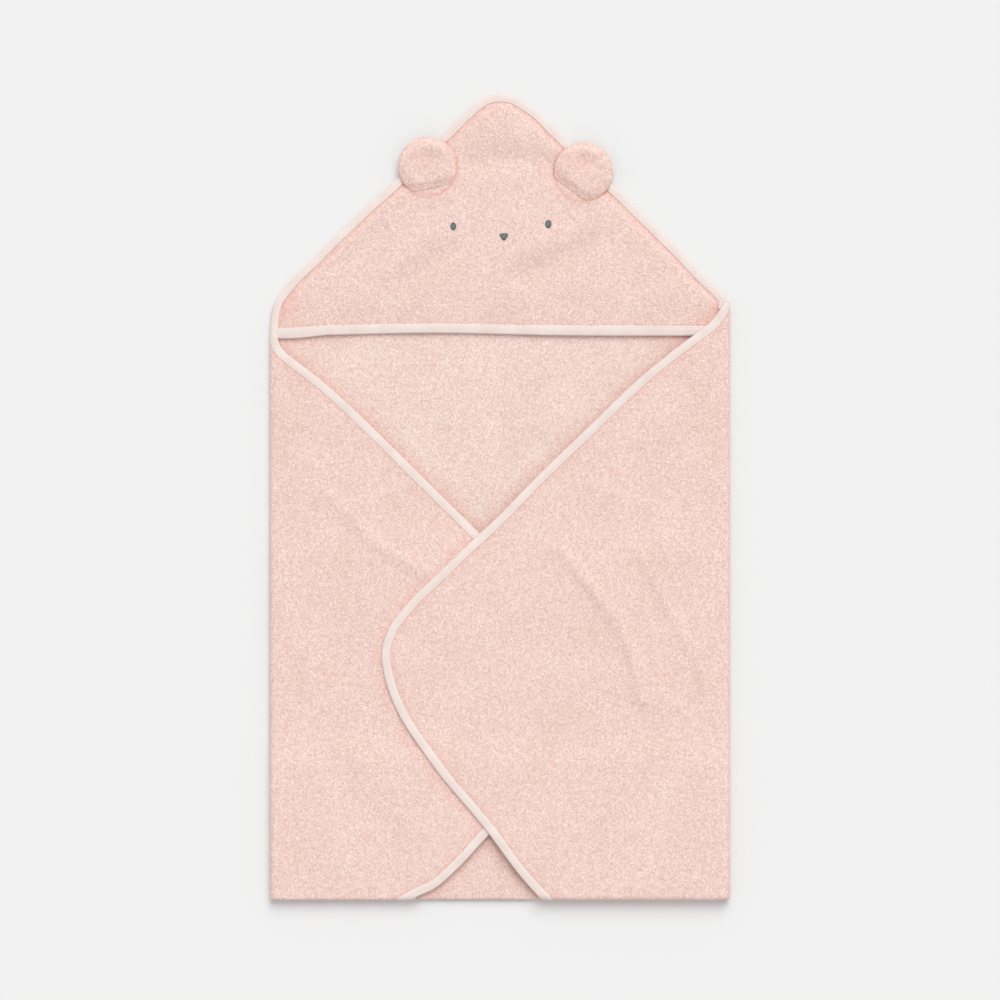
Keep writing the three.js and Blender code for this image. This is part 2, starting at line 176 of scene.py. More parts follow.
def line_through(points, step):
    """A smooth line: cubics between the points, each along its neighbours' direction there."""
    p = np.array(points, float)
    along = np.concatenate([[0], np.cumsum(np.linalg.norm(np.diff(p, axis=0), axis=1))])
    slope = np.gradient(p, along, axis=0)
    at = np.linspace(0, along[-1], int(along[-1] / step) + 1)
    i = np.clip(np.searchsorted(along, at, side="right") - 1, 0, len(p) - 2)
    span = (along[i + 1] - along[i])[:, None]
    s = (at - along[i])[:, None] / span
    start = (2 * s**3 - 3 * s**2 + 1) * p[i] + (s**3 - 2 * s**2 + s) * span * slope[i]
    return start + (3 * s**2 - 2 * s**3) * p[i + 1] + (s**3 - s**2) * span * slope[i + 1]


def sideways(line):
    """Unit vectors a quarter turn to the left of the line's direction."""
    way = np.gradient(line, axis=0)
    way = way / np.linalg.norm(way, axis=1, keepdims=True)
    return np.stack([-way[:, 1], way[:, 0]], axis=1)


def off_line(u, v, line):
    """The distance of each point from the nearest point of a line whose points are close together."""
    nearest = np.full(u.shape, np.inf)
    for a, b in line:
        nearest = np.minimum(nearest, (u - a) ** 2 + (v - b) ** 2)
    return np.sqrt(nearest)


print("halfway up a climb from 2 to 4:", climb(np.array([5.0]), [(0, 2), (10, 4)]))

# %% [markdown]
# ## From grids to a closed mesh
#
# A layer of cloth, and a strip of tape, is two grids of points, one for each face, joined round the rim.
# Both faces carry the same map named "flat", which is where a point lay when the cloth was cut, in
# metres. The weave follows that map, so it bends with the cloth.

# %% Closed shells
def piece_from(name, points, faces, flat, material, slot):
    """A mesh object from points in millimetres, turned so that its faces look outwards."""
    points = points * MM
    a, b, c, d = (points[faces[:, k]] for k in range(4))
    volume = (a * np.cross(b, c)).sum() + (a * np.cross(c, d)).sum()
    if volume < 0:
        faces = faces[:, ::-1]
    mesh = bpy.data.meshes.new(name)
    mesh.from_pydata(points, [], faces)
    corners = np.zeros(len(mesh.loops), np.int32)
    mesh.loops.foreach_get("vertex_index", corners)
    layer = mesh.uv_layers.new(name="flat")
    layer.uv.foreach_set("vector", (flat * MM)[corners].astype(np.float32).ravel())
    mesh.polygons.foreach_set("use_smooth", np.ones(len(mesh.polygons), bool))
    mesh.materials.append(material)
    piece = bpy.data.objects.new(name, mesh)
    bpy.context.scene.collection.objects.link(piece)
    print(f"{name}: {len(points)} points, {len(faces)} faces")
    return piece


def write_shade(piece, name, values):
    """One number for each point of the mesh, for its material to read."""
    layer = piece.data.attributes.new(name, "FLOAT", "POINT")
    layer.data.foreach_set("value", np.asarray(values, np.float32).ravel())


def shell(name, upper, lower, flat, material, slot):
    """Two grids of points as one closed mesh: two faces and the wall round their rim."""
    rows, columns = upper.shape[:2]
    count = rows * columns
    at = np.arange(count).reshape(rows, columns)
    corners = [at[:-1, :-1], at[:-1, 1:], at[1:, 1:], at[1:, :-1]]
    front = np.stack(corners, -1).reshape(-1, 4)
    rim = np.concatenate([at[0], at[1:, -1], at[-1, -2::-1], at[-2:0:-1, 0]])
    following = np.roll(rim, -1)
    wall = np.stack([following, rim, rim + count, following + count], -1)
    faces = np.concatenate([front, front[:, ::-1] + count, wall])
    points = np.concatenate([upper.reshape(-1, 3), lower.reshape(-1, 3)])
    return piece_from(name, points, faces, np.tile(flat.reshape(-1, 2), (2, 1)), material, slot)


# %% [markdown]
# ## Terry
#
# Terry is a weave with loops standing up from both faces. Seen from above it is a fine, curly grain with
# light on the tops of the loops and a deeper, warmer pink between them. Real loops would be far too many,
# so the mesh has the lumps of the pile and the material adds the loops: small cells and short curls in
# the bump, and the same cells in the colour as painted shade between the loops and painted highlight on
# their tops, so that light and colour agree. A number at each point mixes in more painted shade.

# %% Node helpers
def add_node(material, kind, **settings):
    """A new node of that kind, with its settings made."""
    node = material.node_tree.nodes.new(kind)
    for key, value in settings.items():
        setattr(node, key, value)
    return node


def feed(material, node, **values):
    """Sets or links a node's sockets by name, with underscores for spaces."""
    for key, value in values.items():
        socket = node.inputs[key.replace("_", " ")]
        if isinstance(value, bpy.types.NodeSocket):
            material.node_tree.links.new(value, socket)
        else:
            socket.default_value = value
    return node


def maths(material, operation, a, b, c=None):
    """One sum on two or three numbers."""
    node = add_node(material, "ShaderNodeMath", operation=operation)
    for socket, value in zip(node.inputs, (a, b, c)):
        if isinstance(value, bpy.types.NodeSocket):
            material.node_tree.links.new(value, socket)
        elif value is not None:
            socket.default_value = value
    return node.outputs[0]


def pattern(material, kind, place, scale, output, **settings):
    """A flat noise or cell pattern, with its scale in features to the metre."""
    inputs = {k: settings.pop(k) for k in list(settings) if k[0].isupper()}
    node = add_node(material, kind, **settings)
    feed(material, node, Vector=place, Scale=scale, **inputs)
    return node.outputs[output]


def ramp(material, value, stops):
    """A colour that goes through the stops (place, colour) as the value goes from 0 to 1."""
    node = add_node(material, "ShaderNodeValToRGB")
    feed(material, node, Fac=value)
    elements = node.color_ramp.elements
    while len(elements) < len(stops):
        elements.new(0.5)
    for element, (place, colour) in zip(elements, stops):
        element.position = place
        element.color = colour
    return node.outputs["Color"]


def tint(text):
    """A colour written as six hexadecimal digits, as linear light."""
    value = np.array([int(text[k : k + 2], 16) / 255 for k in (0, 2, 4)])
    light = np.where(value <= 0.04045, value / 12.92, ((value + 0.055) / 1.055) ** 2.4)
    return (*light.tolist(), 1.0)


print("middle grey as linear light:", round(tint("808080")[0], 3))

# %% Terry material
def terry_material(name, deep_shade, middle, highlight, crease_shade):
    """Terry: worm-like curls where a noise is near its middle value, on small cells, with faint drifts, and
    painted shade mixed in by a number at each point.
    """
    material = bpy.data.materials.new(name)
    material.use_nodes = True
    shader = material.node_tree.nodes["Principled BSDF"]
    flat = add_node(material, "ShaderNodeUVMap", uv_map="flat").outputs["UV"]
    noise_kind, two = "ShaderNodeTexNoise", "2D"
    wander = pattern(
        material, noise_kind, flat, 700, "Fac", noise_dimensions=two, Detail=1.5, Distortion=0.8
    )
    tufts = pattern(material, noise_kind, flat, 300, "Fac", noise_dimensions=two, Detail=2.0)
    drift = pattern(material, noise_kind, flat, 22, "Fac", noise_dimensions=two, Detail=2.0)
    cells = pattern(
        material, "ShaderNodeTexVoronoi", flat, 640, "Distance", voronoi_dimensions=two
    )
    away = maths(material, "ABSOLUTE", maths(material, "SUBTRACT", wander, 0.5), 0.0)
    curls = maths(material, "MULTIPLY_ADD", away, -5.6, 1.0)
    height = maths(material, "MULTIPLY_ADD", cells, -0.4, maths(material, "MULTIPLY", curls, 0.6))
    height = maths(material, "MULTIPLY_ADD", tufts, 0.32, height)
    shade = maths(material, "MULTIPLY_ADD", height, 0.8, 0.07)
    shade = maths(material, "MULTIPLY_ADD", drift, 0.16, shade)
    # Painted shade: a number at each point mixes the deeper crease colour into the pink.
    painted_shade = add_node(material, "ShaderNodeAttribute", attribute_name="painted_shade").outputs["Fac"]
    # Painted shade and highlight: deeper pink where the loops are low, brighter on their tops, over faint
    # drifts of tone.
    colour = ramp(material, shade, [(0.12, tint(deep_shade)), (0.42, tint(middle)), (0.72, tint(highlight))])
    shade_mix = add_node(material, "ShaderNodeMix", data_type="RGBA")
    material.node_tree.links.new(maths(material, "MULTIPLY", painted_shade, 0.75), shade_mix.inputs[0])
    material.node_tree.links.new(colour, shade_mix.inputs[6])
    shade_mix.inputs[7].default_value = tint(crease_shade)
    relief = add_node(material, "ShaderNodeBump")
    feed(material, relief, Height=height, Strength=0.65, Distance=0.0006)
    feed(material, shader, Base_Color=shade_mix.outputs[2], Normal=relief.outputs["Normal"])
    feed(material, shader, Roughness=0.92, Sheen_Weight=0.15, Sheen_Roughness=0.5)
    feed(material, shader, Specular_IOR_Level=0.15, Sheen_Tint=tint("FFEDE6"))
    return material


# The last colour of each is the painted shade for creases, tape sides and other layers' edges.
outer_terry = terry_material("outer_terry", "E7BDB2", "F4D5CB", "FDEAE2", "EAA799")
inner_terry = terry_material("inner_terry", "E7C0B4", "F4D9CF", "FDEDE5", "EAAB9E")
print("terry materials:", outer_terry.name, inner_terry.name)

# %% [markdown]
# ## Tape, sewing thread and embroidery thread
#
# The tape is a fine cotton knit, almost smooth, so its bump is ribs less than a millimetre apart across
# the strip. Sewing thread is two strands twisted together: fine bands slanting along each stitch.

# %% Tape and thread materials
def ribbed_material(name, dark, light, ribs, bump, roughness):
    """Cotton with fine ribs across the map's first direction, and a little slow variation of shade."""
    material = bpy.data.materials.new(name)
    material.use_nodes = True
    shader = material.node_tree.nodes["Principled BSDF"]
    flat = add_node(material, "ShaderNodeUVMap", uv_map="flat").outputs["UV"]
    apart = add_node(material, "ShaderNodeSeparateXYZ")
    feed(material, apart, Vector=flat)
    turn = maths(material, "MULTIPLY", apart.outputs["X"], ribs)
    rib = maths(material, "MULTIPLY_ADD", maths(material, "SINE", turn, 0.0), 0.5, 0.5)
    grain = pattern(
        material, "ShaderNodeTexNoise", flat, 900, "Fac", noise_dimensions="2D", Detail=2.0
    )
    drift = pattern(material, "ShaderNodeTexNoise", flat, 60, "Fac", noise_dimensions="2D")
    height = maths(material, "MULTIPLY_ADD", rib, 0.5, grain)
    shade = maths(material, "MULTIPLY_ADD", drift, 0.7, maths(material, "MULTIPLY", height, 0.2))
    colour = ramp(material, shade, [(0.3, tint(dark)), (0.75, tint(light))])
    relief = add_node(material, "ShaderNodeBump")
    feed(material, relief, Height=height, Strength=bump, Distance=0.0003)
    feed(material, shader, Base_Color=colour, Normal=relief.outputs["Normal"])
    feed(material, shader, Roughness=roughness, Sheen_Weight=0.15, Specular_IOR_Level=0.25)
    return material


RIBS_TO_RADIANS = 2 * np.pi / 0.0009
binding_cotton = ribbed_material("binding_cotton", "E4D3CB", "EDDFD9", RIBS_TO_RADIANS, 0.35, 0.8)
sewing_thread = ribbed_material("sewing_thread", "FBF3EE", "FFFBF8", RIBS_TO_RADIANS * 1.4, 0.4, 0.6)


def embroidery_material(name):
    """Stranded thread: dark for the outline and a greyer green for the filling, by the shade attribute."""
    material = ribbed_material(name, "3F4241", "4C504F", RIBS_TO_RADIANS * 1.8, 0.5, 0.55)
    shader = material.node_tree.nodes["Principled BSDF"]
    shade = add_node(material, "ShaderNodeAttribute", attribute_name="shade").outputs["Fac"]
    colour = ramp(material, shade, [(0.0, tint("414443")), (1.0, tint("77827E"))])
    material.node_tree.links.new(colour, shader.inputs["Base Color"])
    return material


embroidery_thread = embroidery_material("embroidery_thread")
print("tape and thread materials made")

# %% [markdown]
# ## Layers of terry
#
# A layer has a place function: give it where a point lies in the flat cloth and how far it stands off
# the middle of the layer, and it gives the point in space. The terry, its tape and its stitches all use
# the same one, so they stay together through every wrinkle and fold.
#
# Beside the tape the pile is pressed down by the stitching, so the layer gets thinner there.

# %% Terry layers
PRESSED_HALF = 0.85
TAPE_WIDTH = 7.7
INSIDE_TAPE = 1.6


def pile(u, v, seed):
    """The uneven top of the loops, about -1 to 1: fine lumps with broader ones under them."""
    return 0.75 * noise(u, v, 2.3, seed) + 0.25 * noise(u, v, 5.2, seed + 1)


def terry_layer(name, place, u, v, taped, seed, material, slot, thin=None, painted_shade=0.0):
    """A closed layer over the flat points u, v, thinner near the taped lines and where thin says, with
    painted shade beside the tape.
    """
    off_tape = np.min([off_line(u, v, line) for line in taped], axis=0)
    open_cloth = ease(off_tape, TAPE_WIDTH - 2.5, TAPE_WIDTH + 3.5)
    half = PRESSED_HALF + (HALF - PRESSED_HALF) * open_cloth
    if thin is not None:
        half = half * thin
        open_cloth = open_cloth * thin
    upper = place(u, v, half + open_cloth * (0.1 + 0.22 * pile(u, v, seed)))
    lower = place(u, v, -half + open_cloth * (0.15 + 0.15 * pile(u, v, seed + 2)))
    layer = shell(name, upper, lower, np.stack([u, v], -1), material, slot)
    # Painted shade: the pile's colour deepens beside the tape, added to the shade the caller gives.
    shade_beside_tape = 0.45 * np.exp(-np.clip(off_tape - TAPE_WIDTH, 0, None) / 2.5)
    deep_shade = np.clip(np.broadcast_to(painted_shade, u.shape) + shade_beside_tape, 0, 1)
    write_shade(layer, "painted_shade", np.tile(deep_shade.ravel(), 2))
    return layer


def flat_area(u, v):
    """A flat grid's area in square metres: half the cross product of each cell's diagonals."""
    across = np.stack([u[1:, 1:] - u[:-1, :-1], v[1:, 1:] - v[:-1, :-1]])
    down = np.stack([u[1:, :-1] - u[:-1, 1:], v[1:, :-1] - v[:-1, 1:]])
    return float(np.abs(across[0] * down[1] - across[1] * down[0]).sum() / 2 * MM**2)


def declare_cloth(piece, u, v, held, rests_on, with_pieces):
    """Prints how large the layer was when it was cut, and its area."""
    size = (float(np.ptp(u)) * MM, float(np.ptp(v)) * MM)
    area = flat_area(u, v)
    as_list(rests_on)
    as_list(with_pieces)
    print(f"{piece.name}: flat {size[0]:.3f} x {size[1]:.3f} m, {area:.4f} m2")


# %% [markdown]
# ## Tape and stitches
#
# The binding is a strip folded over the cloth's edge, so its section is a U: a rounded nose outside and
# two walls, slightly crowned, with a dip where the row of stitches pulls them together.

# %% Edging tape
TAPE_THICK = 0.4
NOSE = 1.6
CROWN = 0.35
STITCH_INSET = 1.2


def u_section(width, half, thick):
    """The (inset, lift) points of a U: straight walls with a crown, and half an ellipse for the nose."""
    p = np.linspace([-1, -0.25, 0.3], [-0.3, 0.25, 1], 9).T.ravel()
    wall = np.clip((np.abs(p) - 0.25) / 0.75, 0, 1)
    angle = np.clip(p / 0.25, -1, 1) * np.pi / 2
    share = NOSE / TAPE_WIDTH
    inset = (1 - share) * wall + share * (1 - np.cos(angle))
    inset = width[:, None] * inset[None, :] + (TAPE_THICK - thick) * np.cos(angle)
    dip = np.exp(-(((width[:, None] - STITCH_INSET - inset) / 0.8) ** 2))
    crown = CROWN * np.sin(np.pi * wall) - 0.22 * dip
    return inset, (half + thick) * np.sin(angle) + np.sign(p) * crown


def tape(name, place, line, half, width=TAPE_WIDTH, seed=1):
    """Tape over the edge that the line follows, with the cloth on the line's left."""
    length = np.concatenate([[0], np.cumsum(np.linalg.norm(np.diff(line, axis=0), axis=1))])
    widths = np.broadcast_to(width, len(line)) * (1 + 0.03 * noise(length, length * 0, 17, seed))
    inwards = sideways(line)
    grids = []
    for thick in (TAPE_THICK, 0.02):
        inset, lift = u_section(widths, half, thick)
        pucker = 0.07 * np.sin(length * 2 * np.pi / 5.6)[:, None] * np.clip(inset / TAPE_WIDTH, 0, 1)
        u = line[:, :1] + inwards[:, :1] * inset
        v = line[:, 1:] + inwards[:, 1:] * inset
        grids.append(place(u, v, lift + np.sign(lift) * pucker))
    inset, lift = u_section(widths, half, TAPE_THICK)
    flat = np.stack([np.broadcast_to(length[:, None], inset.shape), inset * np.sign(lift)], -1)
    return shell(name, grids[0], grids[1], flat, binding_cotton, "binding")


print("points across the tape:", u_section(np.array([TAPE_WIDTH]), HALF, TAPE_THICK)[0].size)

# %% Stitches
STITCH_PITCH = 2.9


def strands(name, starts, ends, ups, radius, material, slot, shade=None):
    """One short rounded strand of thread from each start to its end: rings that close at both ends."""
    sides, rings = 6, 5
    count = sides * rings
    turns = np.arange(sides) * np.pi / 3
    along = np.array([-1.0, -0.82, 0.0, 0.82, 1.0])
    wide = np.array([0.12, 0.8, 1.0, 0.8, 0.12])
    axis = (ends - starts) / 2
    way = axis / np.linalg.norm(axis, axis=1, keepdims=True)
    side = np.cross(way, ups)
    side = side / np.linalg.norm(side, axis=1, keepdims=True)
    up = np.cross(side, way)
    ring = side[:, None, None] * np.cos(turns)[:, None] + up[:, None, None] * np.sin(turns)[:, None]
    middle = ((starts + ends) / 2)[:, None, None]
    points = middle + axis[:, None, None] * along[None, :, None, None]
    points = points + ring * (radius * wide)[None, :, None, None]
    one = np.arange(count).reshape(rings, sides)
    walls = np.stack([one[:-1], np.roll(one, -1, 1)[:-1], np.roll(one, -1, 1)[1:], one[1:]], -1)
    caps = np.array([[3, 2, 1, 0], [0, 5, 4, 3], [24, 25, 26, 27], [27, 28, 29, 24]])
    faces = np.concatenate([walls.reshape(-1, 4), caps])
    faces = (faces[None] + (np.arange(len(starts)) * count)[:, None, None]).reshape(-1, 4)
    length = np.linalg.norm(axis, axis=1)[:, None, None] * (along[None, :, None] + 1)
    first = np.broadcast_to(length + 0.15 * turns[None, None, :], (len(starts), rings, sides))
    second = np.broadcast_to(turns[None, None, :] * radius, first.shape)
    flat = np.stack([first, second], -1).reshape(-1, 2)
    piece = piece_from(name, points.reshape(-1, 3), faces, flat, material, slot)
    if shade is not None:
        write_shade(piece, "shade", np.repeat(shade, count))
    return piece


def stitches(name, place, line, half, width=TAPE_WIDTH, radius=0.28):
    """A row of stitches near the tape's inner edge, on both of its faces."""
    length = np.concatenate([[0], np.cumsum(np.linalg.norm(np.diff(line, axis=0), axis=1))])
    inner = line + sideways(line) * (np.broadcast_to(width, len(line)) - STITCH_INSET)[:, None]
    middles = np.arange(STITCH_PITCH, length[-1] - STITCH_PITCH, STITCH_PITCH)
    rows = []
    for face in (1, -1):
        lift = face * (half + TAPE_THICK + 0.12)
        ends = []
        for shift in (-0.39, 0.39):
            at = middles + shift * STITCH_PITCH
            u, v = (np.interp(at, length, inner[:, k]) for k in (0, 1))
            ends.append(place(u, v, np.full(len(u), lift)))
        u, v = (np.interp(middles, length, inner[:, k]) for k in (0, 1))
        away = place(u, v, np.full(len(u), lift * 2)) - place(u, v, np.full(len(u), lift))
        rows.append((ends[0], ends[1], away))
    starts, ends, ups = (np.concatenate([row[k] for row in rows]) for k in range(3))
    return strands(name, starts, ends, ups, radius, sewing_thread, "thread")


print("stitches to the metre:", round(1 / (STITCH_PITCH * MM)))

# %% [markdown]
# ## The hood's edge, and the back under it
#
# The hood and the back share the slanting edges of the towel's top corner, where one strip of tape takes
# in both. The edge isn't quite straight: it bows a little, rounds the peak, and at the left shoulder it
# turns down softly into the fold. Rows of the grid run across, and they get closer together near the
# peak, where the edge turns quickly.

# %% Back
HOOD_EDGE = [
    (203.6, 168), (203.9, 173), (203.2, 178.2), (198.2, 184.6), (190, 192), (161, 221.8),
    (121.5, 260.5), (92.5, 289), (63.5, 317.2), (53, 327.4), (46, 334), (41, 339.4), (35, 345.2),
    (29, 349.8), (23.5, 353.6), (18.5, 357), (12, 360.2), (4, 362.1), (-3, 362), (-11, 360.2),
    (-17.5, 357), (-22, 353.6), (-31, 345.6), (-53.5, 323.4), (-87, 291), (-128.5, 253.2),
    (-152.5, 229.8), (-169, 213.2), (-184.5, 198.6), (-194.6, 187), (-202.1, 176), (-205.5, 164),
    (-206.4, 154), (-206.4, 146),
]  # fmt: skip
HOOD_TAPE = 6.8
LEFT_STOP, RIGHT_STOP = -200.7, 199.2  # where the cloth ends beside the folds
RIM_MIDDLE = 2.6
RIM_HALF = 2.0
hood_line = line_through(HOOD_EDGE, 1.8)


def span_at(y, left_stop, right_stop):
    """Where a row at height y starts and ends, just inside the tape and clear of the side folds."""
    inner = hood_line + sideways(hood_line) * INSIDE_TAPE
    top = inner[:, 1].argmax()
    right = np.interp(y, inner[: top + 1, 1], inner[: top + 1, 0])
    left = np.interp(y, inner[top:, 1][::-1], inner[top:, 0][::-1])
    left = np.where(y < 141, left_stop, np.maximum(left, left_stop - 4.2 * ease(y, 139, 146)))
    return left, np.minimum(right, right_stop)


def rows_to_peak(low, step):
    """Evenly spaced rows, and rows that crowd together over the last 26 mm below the peak."""
    even = np.arange(low, PEAK - 26, step)
    last = PEAK - INSIDE_TAPE - 0.3 - (PEAK - even[-1] - step) * (1 - np.linspace(0, 1, 22)) ** 2
    return np.concatenate([even, last[last > even[-1] + 0.4]])


def spread_rows(y, left, right, columns):
    """A grid with a row at each y, from left to right, with evenly spaced columns."""
    share = np.linspace(0, 1, columns)[None, :]
    return left[:, None] + (right - left)[:, None] * share, np.repeat(y[:, None], columns, 1)


BACK_WRINKLES = [
    ([(1.8, 107.9), (-6.3, 74.6)], 7, -0.8),
    ([(31.5, 50.3), (18, 34.1)], 6, -0.7),
    ([(-60, 96), (-20, 40)], 16, 0.7),
    ([(70, 110), (40, 60)], 14, 0.6),
]


def back_place(x, y, lift):
    """The back lies flat: half a layer up, more under the tape, with hollows in the open part."""
    near_edge = 1 - ease(off_line(x, y, hood_line[::3]), 6, 14)
    rise = np.clip(1.0 + 2 * wrinkles(x, y, BACK_WRINKLES), 0, 4)
    rise = rise * ease(y, -20, 20) * ease(145 - y, 0, 40)
    return np.stack([x, y, HALF + 0.25 * near_edge + rise * 0.8 + lift], -1)


y = rows_to_peak(BOTTOM + 2.9, 2.6)
left, right = span_at(y, LEFT_STOP, RIGHT_STOP)
u, v = spread_rows(y, left, right, 150)
left_shadow, right_shadow = (
    line_through(points, 9)
    for points in (
        [(-198, 134), (-178, 118), (-140, 86), (-86, 34), (-19, -32), (10, -60)],
        [(196, 166), (160, 136), (126, 107), (30, 15), (-3, -20), (-30, -50)],
    )
)
# Painted shade on the back: deeper pink along the flaps' edges and under the ends of the hood's open edge.
shade_under_flaps = 0.38 * np.exp(-((off_line(u, v, left_shadow) / 9) ** 2))
shade_under_flaps += 0.3 * np.exp(-((off_line(u, v, right_shadow) / 8) ** 2))
shade_under_hood = 0.45 * np.exp(-(((v - MOUTH) / 7) ** 2)) * ease(np.abs(u + 10), 60, 190)
back_sheet = terry_layer(
    "back_sheet", back_place, u, v, [hood_line], 11, inner_terry, "inner_terry",
    painted_shade=np.clip(shade_under_flaps + shade_under_hood, 0, 0.8),
)
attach(back_sheet, "back")
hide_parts("back_panel")
back_grid = (u, v)

# %% [markdown]
# ## Hood
#
# The hood is a triangle of the same terry. Only its slanting sides are sewn down, so the middle of its
# open lower edge stands a little off the back and casts a soft shadow on it.

# %% Hood
MOUTH_HALF = 164.3
EAR_RADIUS = 26.5
LEFT_EAR = (-65, 65)  # across, and down from the peak
RIGHT_EAR = (75, 70)
MOUTH_LIFT = 1.2
MOUTH_TAPE = 9.2
MOUTH_RUN = 120.0
HOOD_WRINKLES = [
    ([(-83.7, 193.4), (-45, 221.3)], 11, -1.1),
    ([(-98, 206), (-62, 232)], 12, 0.7),
    ([(20.7, 198.8), (95.4, 232.1)], 11, -1.0),
    ([(14, 214), (84, 247)], 12, 0.7),
    ([(-23.4, 300.5), (10, 303), (59.4, 296)], 10, -1.1),
    ([(-10, 326), (30, 326)], 11, 0.6),
    ([(-150, 205), (-110, 236)], 9, -0.6),
    ([(120, 190), (160, 203)], 10, -0.6),
    ([(-188, 178), (-176, 196)], 6, -1.1),
]


def mouth_dip(x, y):
    """How far the open edge hangs lower at its left end, less its bow left of the middle."""
    bow = 2.6 * np.exp(-(((x + 60) / 85) ** 2))
    return (2.8 * ease(-x, 150, 190) - bow) * ease(MOUTH + 26 - y, 0, 26)


def hood_place(x, y, lift):
    """The hood stands off the back most at the middle of its open edge, and is pressed down at its rim."""
    across = np.clip(1 - (x / MOUTH_HALF) ** 2, 0, 1)
    run = np.clip((MOUTH + MOUTH_RUN - y) / MOUTH_RUN, 0, 1)
    raised = MOUTH_LIFT * across * run
    rim = 1 - ease(off_line(x, y, hood_line[::3]), 6, 15)
    soft = 1.9 * wrinkles(x, y, HOOD_WRINKLES) + 0.7 * noise(x, y, 38, 5)
    puff = 0.4 + 1.9 * ease(y, MOUTH + 4, MOUTH + 45) + soft
    middle = PITCH + HALF + 0.3 + raised + puff * (1 - rim) - 0.75 * rim
    return np.stack([x, y - mouth_dip(x, y), middle + lift], -1)


y = rows_to_peak(MOUTH + INSIDE_TAPE, 1.7)
left, right = span_at(y, LEFT_STOP, RIGHT_STOP)
u, v = spread_rows(y, left, right, 232)
mouth_line = np.stack([np.linspace(-201.2, 188, 240), np.full(240, MOUTH)], -1)
# Painted shade on the hood: a ring round each ear, where the ear meets the hood.
ear_gap = np.min(
    [np.abs(np.hypot(u - a, v - (PEAK - b)) - EAR_RADIUS) for a, b in (LEFT_EAR, RIGHT_EAR)], axis=0
)
shade_beside_ears = 0.65 * np.exp(-((ear_gap / 1.8) ** 2))
# Painted shade at the two shoulders: under the right flap's edge, and in the left corner.
corners = 0.5 * np.exp(-((off_line(u, v, right_shadow) / 6) ** 2))
corners += 0.35 * np.exp(-((u + 190) ** 2 / 9**2 + (v - 170) ** 2 / 24**2))
hood_sheet = terry_layer(
    "hood_sheet", hood_place, u, v, [hood_line, mouth_line], 21, outer_terry, "terry",
    painted_shade=np.clip(shade_beside_ears + corners, 0, 0.8),
)
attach(hood_sheet, "back")
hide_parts("hood_panel")
hood_grid = (u, v)

# %% Tape round the hood and along its open edge
def rim_place(x, y, lift):
    """The hood's rim, halfway up the two layers that its tape takes in."""
    return np.stack([x, y, RIM_MIDDLE + lift + 0 * x], -1)


hood_tape = tape("hood_tape", rim_place, hood_line, RIM_HALF, HOOD_TAPE, seed=31)
hood_stitches = stitches("hood_stitches", rim_place, hood_line, RIM_HALF, HOOD_TAPE, 0.38)
mouth_tape = tape("hood_mouth_tape", hood_place, mouth_line, PRESSED_HALF, MOUTH_TAPE, seed=32)
mouth_stitches = stitches(
    "hood_mouth_stitches", hood_place, mouth_line, PRESSED_HALF, MOUTH_TAPE, 0.36
)
for piece, node in (
    (hood_tape, "hood_binding"),
    (hood_stitches, "hood_seam"),
    (mouth_tape, "hood_mouth_binding"),
    (mouth_stitches, "hood_mouth_seam"),
):
    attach(piece, "back")
    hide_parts(node)
declare_cloth(back_sheet, *back_grid, "laid", [], [hood_tape, hood_stitches])
declare_cloth(hood_sheet, *hood_grid, "laid", ["back_sheet"], [mouth_tape, mouth_stitches])

# %% [markdown]
# ## Side flaps
#
# Each flap is one piece of cloth with the fold that it hangs on. The flat cloth is measured inwards from
# the fold: above the fold it lies on the layers under it, at the fold it goes round half an ellipse, and
# beneath it laps a little way under the back. At the bottom it starts round the end fold as well.

# %% Side flap shape
LAP = 6.0
END_CURL = 2.2  # radians that the end of the cloth and its tape turn through at the bottom


def flap_shape(side, roll, end_radius, heights, ridges, drape_seed):
    """The place function of one flap, in millimetres in from the fold and along it."""
    reach = roll - HALF
    bend_start = BOTTOM + end_radius + HALF

    def place(inward, along, lift):
        past = np.clip((bend_start - along) / end_radius, 0, END_CURL)
        inside = np.clip(bend_start - along - END_CURL * end_radius, 0, None)
        y = np.where(past > 0, bend_start - end_radius * np.sin(past) + inside, along)
        around = np.clip((roll - inward) / reach, 0, np.pi)
        beyond = np.clip((roll - inward) - np.pi * reach, 0, None)
        x = side * (HALF_WIDTH - inward)
        laid = ease(inward, roll, roll + 22) * ease(along, BOTTOM + 4, BOTTOM + 26)
        soft = 2.3 * wrinkles(x, along, ridges) + 0.7 * noise(x, along, 46, drape_seed)
        top = climb(along, heights) + HALF + 0.35 * laid + soft * laid
        top = top - end_radius * (1 - np.cos(past))
        centre, tall = (top + HALF) / 2, (top - HALF) / 2
        z = np.where(around > 0, centre + tall * np.cos(around), top)
        z = z - 0.5 * ease(around, 0.75 * np.pi, np.pi)
        folded = np.where(around > 0, roll - reach * np.sin(around) + beyond, inward)
        out, up = np.sin(around) / reach, np.cos(around) / np.maximum(tall, 1)
        size = np.sqrt(out**2 + up**2)
        out, up = out / size, up / size
        tip = past * np.clip(up, 0, 1)
        x = side * (HALF_WIDTH - folded + out * lift)
        return np.stack([x, y - up * np.sin(tip) * lift, z + up * np.cos(tip) * lift], -1)

    return place


